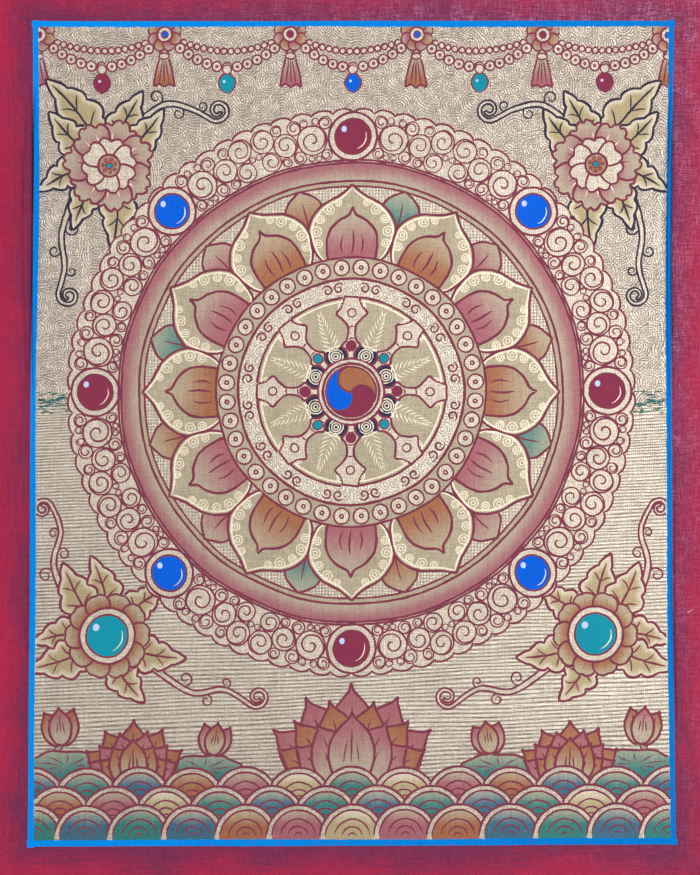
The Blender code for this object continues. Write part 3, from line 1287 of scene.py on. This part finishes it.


# Painted light and shade on the gold, as the lamp falls: darker towards the lower left and lighter towards
# the upper right, a little darker at the top, and darker at the foot where the gold has grain.
def paintedGoldLightGroup():
    group, given, out = newGroup("paintedGoldLight", {"Grain": 0.5, "Burnished": 1.0}, ("Light",))
    x, y = put(group, "ShaderNodeSeparateXYZ", {0: given["Places"]}).outputs[:2]
    # Painted shade towards the lower left, painted highlight towards the upper right, and painted shade at
    # the top.
    light = spread(group, sloping(group, x, y, *paintedGoldLight["slope"]), *paintedGoldLight["alongSlope"])
    light = calc(group, "SUBTRACT", light, spread(group, y, *paintedGoldLight["top"]))
    grainAndFootShade = calc(group, "MULTIPLY", centred(group, given["Grain"]), paintedGoldLight["grain"])
    # Painted shade at the foot, together with the gold's grain.
    grainAndFootShade = calc(group, "SUBTRACT", grainAndFootShade, spread(group, y, *paintedGoldLight["foot"]))
    group.links.new(calc(group, "MULTIPLY_ADD", grainAndFootShade, given["Burnished"], light), out["Light"])
    return group


# How thick paint lies: clouds, brush streaks that run upright or level, and worn spots on the crowns of the
# threads.
def brushGroup():
    inputs = {"Crowns": 0.0, "Upright": 1.0, "Wear": 0.2}
    group, given, out = newGroup("brushedPaint", inputs, ("Tone", "Worn"))
    places = given["Places"]

    def alongBrush(fine, coarse, start, detail=3.0):
        level = stretched(group, places, (coarse, fine, 1.0), start, detail)
        upright = stretched(group, places, (fine, coarse, 1.0), start, detail)
        return put(group, "ShaderNodeMix", {0: given["Upright"], 2: level, 3: upright}).outputs[0]

    tone = calc(group, "MULTIPLY_ADD", centred(group, noise(group, places, 0.05, 4.0, 0.6)), 1.5, 0.5)
    tone = calc(group, "ADD", centred(group, alongBrush(1.2, 0.07, 0.0)), tone, clamp=True)
    group.links.new(tone, out["Tone"])
    amount = calc(group, "MULTIPLY", alongBrush(1.3, 0.15, 11.0, 4.0), 0.6)
    for value, share in ((noise(group, places, 1.5), 0.4), (given["Crowns"], 0.12), (given["Wear"], 0.4)):
        amount = calc(group, "MULTIPLY_ADD", value, share, amount)
    group.links.new(spread(group, amount, 0.78, 0.94), out["Worn"])
    return group


finishes = {
    "gold": {"metal": 0.5, "rough": 0.42, "wear": 0.1, "weave": 0.12, "mottle": 0.35, "specular": 0.3},
    "wash": {"metal": 0.05, "rough": 0.62, "wear": 0.08, "weave": 0.16, "mottle": 0.35, "specular": 0.3},
    "matte": {"metal": 0.0, "rough": 0.6, "wear": 0.1, "weave": 0.08, "mottle": 0.3, "specular": 0.2},
    "jewel": {"metal": 0.0, "rough": 0.6, "wear": 0.03, "weave": 0.05, "mottle": 0.4, "specular": 0.15},
}


# A paint's colour where it is full and where it is deep or bare, what shows where it wears thin, and its
# finish, of which own changes some values.
def paint(finish, full, deep, thin, **own):
    return {"finish": finish, **finishes[finish], "full": full, "deep": deep, "thin": thin, **own}


paints = {
    "redMargin": paint("matte", (162, 24, 65), (109, 30, 69), (164, 102, 136),
                       wear=0.18, weave=0.14, mottle=0.6),
    # On polished gold, deep and full are the painted shade in the grooves and the painted highlight on the
    # polished crowns.
    "goldRings": paint("gold", (213, 200, 187), (132, 119, 104), (162, 142, 114),
                       rough=0.44, wear=0.2, weave=0.22, mottle=0.4, polish="rings"),
    "goldRows": paint("gold", (228, 217, 202), (120, 107, 90), (162, 142, 114),
                      rough=0.4, wear=0.2, weave=0.15, mottle=0.3, polish="rows"),
    "goldTicks": paint("gold", (226, 214, 195), (118, 106, 88), (162, 142, 114),
                       metal=0.45, mottle=0.2, polish="ticks"),
    "goldSwirls": paint("gold", (226, 216, 200), (158, 147, 128), (162, 142, 114),
                        metal=0.4, mottle=0.25, polish="rings",
                        polishSize={"Ring Size": 2.9, "Arch Edge": 0.0, "Pitch": 0.78}),
    "goldPale": paint("gold", (215, 204, 188), (186, 172, 153), (160, 140, 110),
                      metal=0.3, rough=0.5, wear=0.16, weave=0.26),
    "khaki": paint("gold", (176, 164, 141), (160, 147, 123), (150, 128, 96),
                   metal=0.1, rough=0.62, weave=0.22),
    "khakiWash": paint("wash", (172, 155, 119), (213, 202, 181), (158, 139, 108),
                       metal=0.15, rough=0.58, wear=0.1, weave=0.14, mottle=0.25),
    "haloWash": paint("wash", (156, 97, 103), (173, 160, 142), (170, 140, 120),
                      wear=0.1, weave=0.14, mottle=0.4),
    "pinkWash": paint("wash", (158, 92, 102), (172, 158, 138), (170, 140, 120)),
    "orangeWash": paint("wash", (154, 96, 66), (172, 157, 132), (170, 140, 110)),
    "tealWash": paint("wash", (38, 118, 114), (160, 158, 138), (140, 140, 120)),
    "blueWash": paint("wash", (52, 100, 124), (160, 158, 144), (140, 140, 130)),
    "jewelBlue": paint("jewel", (0, 92, 211), (0, 80, 190), (40, 110, 200),
                       weave=0.08, mottle=0.3, specular=0.08),
    "jewelMaroon": paint("jewel", (132, 42, 62), (116, 42, 80), (150, 80, 100)),
    "jewelTeal": paint("jewel", (0, 140, 160), (0, 122, 146), (60, 150, 150), mottle=0.3),
    "night": paint("jewel", (44, 46, 74), (34, 34, 58), (86, 84, 92), wear=0.06, weave=0.08),
    "highlight": paint("jewel", (186, 200, 236), (160, 180, 226), (150, 170, 220),
                       wear=0.02, mottle=0.2, specular=0.3),
    "blueLine": paint("matte", (0, 133, 224), (0, 112, 193), (60, 110, 180),
                      wear=0.08, mottle=0.4, specular=0.03,
                      deepens=(-100.0, 100.0)),        # fuller at the left than at the right
    "rawCotton": paint("matte", (214, 203, 180), (186, 172, 146), (196, 184, 160),
                       rough=0.85, weave=0.35, specular=0.3),
    "maroon": paint("matte", (129, 54, 69), (106, 46, 70), (154, 100, 106),
                    rough=0.62, wear=0.14, weave=0.12, mottle=0.5, specular=0.15),
    "navy": paint("matte", (54, 46, 66), (44, 36, 54), (104, 94, 98),
                  rough=0.62, wear=0.12, weave=0.12, mottle=0.5),
    "pale": paint("gold", (244, 234, 212), (214, 198, 168), (176, 158, 126),
                  metal=0.35, rough=0.38, wear=0.08, weave=0.08, mottle=0.4),
    "teal": paint("matte", (30, 96, 94), (30, 76, 78), (100, 120, 110)),
    "red": paint("matte", (112, 30, 100), (124, 22, 72), (120, 60, 110)),
}

paintLook = {
    "washRuns": (0.0, 0.9),      # from bare ground to full colour
    "roughWithTone": 0.12,
}

# The margin is crimson outside and darker towards the blue line, deeper towards its top and foot as painted
# shade, and is rubbed pale at the upper right.
marginLook = {
    "shadedEnds": (80.0, 134.0, 0.0, 0.12),
    "strength": (-0.15, 0.6),
    "slope": (1.3, 0.8),
    "rubbed": (-50.0, 230.0, 0.06, 1.0),
    "rubbedOutwards": (0.1, 0.5, 1.15, 0.62),
    "leastWear": 0.6,
    "patchScale": (0.2, 0.07, 1.0),
    "patches": (0.4, 0.68, 0.3, 0.9),
    "patchThreads": (0.32, 0.95, 0.0, 1.2),
}


def washAt(tree):
    return put(tree, "ShaderNodeAttribute", attribute_name="wash").outputs["Fac"]


# The brush goes along each side of the margin, and threads show where it is rubbed.
def marginColour(tree, x, y, flat, look, tone, weave, brushed):
    outwards = washAt(tree)
    strength = calc(tree, "MULTIPLY_ADD", tone, look["mottle"], outwards)
    # Painted shade: the margin deepens towards the top and the foot.
    shadedEnds = spread(tree, calc(tree, "ABSOLUTE", y), *marginLook["shadedEnds"])
    strength = spread(tree, calc(tree, "SUBTRACT", strength, shadedEnds), *marginLook["strength"])
    beside = calc(tree, "GREATER_THAN", calc(tree, "ABSOLUTE", x), halfPicture[0])
    tree.links.new(beside, brushed.inputs["Upright"])
    rubbed = spread(tree, sloping(tree, x, y, *marginLook["slope"]), *marginLook["rubbed"])
    rubbed = calc(tree, "MULTIPLY", rubbed, spread(tree, outwards, *marginLook["rubbedOutwards"], "LINEAR"))
    wear = calc(tree, "MULTIPLY_ADD", rubbed, look["wear"], look["wear"] * marginLook["leastWear"])
    tree.links.new(wear, brushed.inputs["Wear"])
    patches = stretched(tree, flat, marginLook["patchScale"], 5.0, 4.0, 0.65)
    patches = spread(tree, patches, *marginLook["patches"])
    threads = spread(tree, weave["Slubs"], *marginLook["patchThreads"], "LINEAR")
    patches = calc(tree, "MULTIPLY", calc(tree, "MULTIPLY", patches, threads), rubbed)
    colour = blend(tree, strength, pigment(*look["deep"]), pigment(*look["full"]))
    return blend(tree, patches, colour, pigment(*look["thin"]))


def paintMaterial(name, look, groups):
    material = bpy.data.materials.new(name)
    material.use_nodes = True
    tree = material.node_tree
    places = put(tree, "ShaderNodeTexCoord").outputs["Object"]
    # The cloth hangs in X and Z, so those two are its own width and height, here in mm.
    parts = put(tree, "ShaderNodeSeparateXYZ", {0: places}).outputs
    x, y = calc(tree, "MULTIPLY", parts[0], 1000.0), calc(tree, "MULTIPLY_ADD", parts[2], 1000.0, clothTop)
    flat = put(tree, "ShaderNodeCombineXYZ", {"X": x, "Y": y}).outputs[0]

    def group(kind, **sockets):
        return put(tree, "ShaderNodeGroup", {"Places": flat, **sockets}, node_tree=groups[kind])

    side = weaveLook["back" if name == "rawCotton" else "face"]
    threads = {"Pitch": weaveLook["pitch"], "Unevenness": side["unevenness"], "Show": look["weave"]}
    weave = group("weave", **threads).outputs
    brushed = group("brush", Crowns=weave["Crowns"], Wear=look["wear"])
    tone = centred(tree, brushed.outputs["Tone"])
    full, deep, thin = (pigment(*look[shade]) for shade in ("full", "deep", "thin"))
    mottle = look["mottle"]
    height = calc(tree, "MULTIPLY", weave["Height"], side["relief"])
    gloss, glossShare = tone, paintLook["roughWithTone"]

    if "polish" in look:
        polish = group(look["polish"], **look.get("polishSize", {})).outputs["Polish"]
        polish = group("press", Polish=polish).outputs["Pressed"]
        # The polish is painted into the colour as well: darker in the grooves, a painted shade, and lighter
        # on the polished crowns, a painted highlight.
        shade = calc(tree, "ADD", polish, polishLook["middle"])
        colour = blend(tree, calc(tree, "MULTIPLY_ADD", tone, mottle, shade, clamp=True), deep, full)
        height = calc(tree, "MULTIPLY_ADD", polish, polishLook["relief"], height)
        gloss, glossShare = polish, -polishLook["gloss"]
    elif name == "redMargin":
        colour = marginColour(tree, x, y, flat, look, tone, weave, brushed)
    elif look["finish"] == "wash":
        strength = calc(tree, "MULTIPLY_ADD", tone, mottle, washAt(tree))
        colour = blend(tree, spread(tree, strength, *paintLook["washRuns"]), deep, full)
    elif "deepens" in look:
        across = spread(tree, x, *look["deepens"], kind="LINEAR")
        colour = blend(tree, calc(tree, "MULTIPLY_ADD", tone, mottle, across, clamp=True), full, deep)
    else:
        colour = blend(tree, calc(tree, "MULTIPLY_ADD", tone, mottle * 2, mottle, clamp=True), full, deep)

    shade = weave["Shade"]
    # Gold gets painted light and shade on top of the weave's shade.
    if look["metal"] > 0:
        grainAndFootShade = 1.0 if look["metal"] > paintedGoldLight["grainAndFootShadeFrom"] else 0.0
        light = group("light", Grain=weave["Grain"], Burnished=grainAndFootShade).outputs["Light"]
        shade = calc(tree, "ADD", shade, light)
    channels = {channel: shade for channel in ("Red", "Green", "Blue")}
    grey = put(tree, "ShaderNodeCombineColor", channels).outputs[0]
    colour = blend(tree, 1.0, colour, grey, "MULTIPLY")
    colour = blend(tree, brushed.outputs["Worn"], colour, thin)
    rough = calc(tree, "MULTIPLY_ADD", gloss, glossShare, look["rough"])
    bump = put(tree, "ShaderNodeBump", {"Height": height, "Strength": 1.0, "Distance": mm})
    shader = tree.nodes["Principled BSDF"].inputs
    for socket, value in (("Base Color", colour), ("Roughness", rough), ("Normal", bump.outputs[0])):
        tree.links.new(value, shader[socket])
    shader["Metallic"].default_value = look["metal"]
    shader["Specular IOR Level"].default_value = look["specular"]
    return material


def allMaterials():
    groups = {
        "weave": weaveGroup(), "brush": brushGroup(), "press": pressGroup(), "light": paintedGoldLightGroup(),
        "rings": ringsGroup(), "rows": rowsGroup(), "ticks": ticksGroup(),
    }
    made = {name: paintMaterial(name, look, groups) for name, look in paints.items()}
    print(f"materials: {len(made)}")
    return made


# The camera stands where the photographer stood: square on, a little low.
camera = {
    "distance": 0.8,
    "view": (0.2095, 0.2619),      # what it takes in at the cloth
    "aim": (-0.0010, 0.003, -0.1432),
    "rise": -2.1,                  # degrees, from below
}


def addObject(name, data, place, aim=None):
    made = bpy.data.objects.new(name, data)
    made.location = place
    if aim:
        made.rotation_euler = (Vector(aim) - Vector(place)).to_track_quat("-Z", "Y").to_euler()
    bpy.context.scene.collection.objects.link(made)
    return made


def addCamera():
    lens = bpy.data.cameras.new("camera")
    lens.sensor_width = 36.0
    lens.lens = lens.sensor_width * camera["distance"] / camera["view"][1]
    rise = math.radians(camera["rise"])
    place = Vector(camera["aim"]) + camera["distance"] * Vector((0, -math.cos(rise), math.sin(rise)))
    bpy.context.scene.camera = addObject("camera", lens, place, camera["aim"])


# Soft studio light, stronger from the upper right.
studio = {
    "world": 0.31,
    "floorDrop": 0.35,
    "floorSize": 6.0,
    "lamps": (         # place, size, watts
        ((0.75, -0.95, 0.35), 0.7, 14.9),
        ((-0.9, -1.0, 0.1), 1.0, 5.2),
        ((0.1, 0.9, 0.7), 1.0, 13.0),
    ),
}


def addStudio():
    scene = bpy.context.scene
    scene.world = bpy.data.worlds.new("studio")
    scene.world.use_nodes = True
    sky = scene.world.node_tree.nodes["Background"].inputs
    sky["Color"].default_value = (1.0, 0.99, 0.975, 1.0)
    sky["Strength"].default_value = studio["world"]
    for number, (place, size, watts) in enumerate(studio["lamps"]):
        light = bpy.data.lights.new(f"softbox{number}", "AREA")
        light.size = size
        light.energy = watts
        addObject(f"softbox{number}", light, place, camera["aim"])
    half = studio["floorSize"] / 2
    corners = ((-half, -half), (half, -half), (half, half), (-half, half))
    mesh = bpy.data.meshes.new("floor")
    mesh.from_pydata([(x, y, -studio["floorDrop"]) for x, y in corners], [], [(0, 1, 2, 3)])
    material = bpy.data.materials.new("floor")
    material.use_nodes = True
    floorLook = material.node_tree.nodes["Principled BSDF"].inputs
    floorLook["Base Color"].default_value = pigment(226, 224, 220)
    floorLook["Roughness"].default_value = 0.8
    mesh.materials.append(material)
    addObject("floor", mesh, (0, 0, 0))
    scene.view_settings.view_transform = "Standard"
    print("camera and studio ready")


addCamera()
addStudio()
paintPicture()
strokes = leaveShowing()
print(f"strokes that show: {len(strokes)}")
materials = allMaterials()
inkPieces = {         # ink, thinnest and thickest stroke, finish in the record
    "maroonLines": ("maroon", 0.78, 9.0, "maroon_ink"),
    "maroonFineLines": ("maroon", 0.0, 0.78, "maroon_ink"),
    "navyLines": ("navy", 0.0, 9.0, "navy_ink"),
    "goldLines": ("pale", 0.0, 9.0, "pale_gold"),
    "grassBlades": ("teal", 0.0, 9.0, "navy_ink"),
    "redFlecks": ("red", 0.0, 9.0, "maroon_ink"),
}
inks = [ink for ink, *_ in inkPieces.values()]
canvas = paintedCloth({name: material for name, material in materials.items() if name not in inks})
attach(canvas, "root")
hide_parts("painted_canvas")
for name, (ink, thinnest, thickest, slot) in inkPieces.items():
    drawn = [s for s in strokes if s["ink"] == ink and thinnest <= s["width"] < thickest]
    piece = inkLines(name, drawn, materials[ink])
    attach(piece, "root")
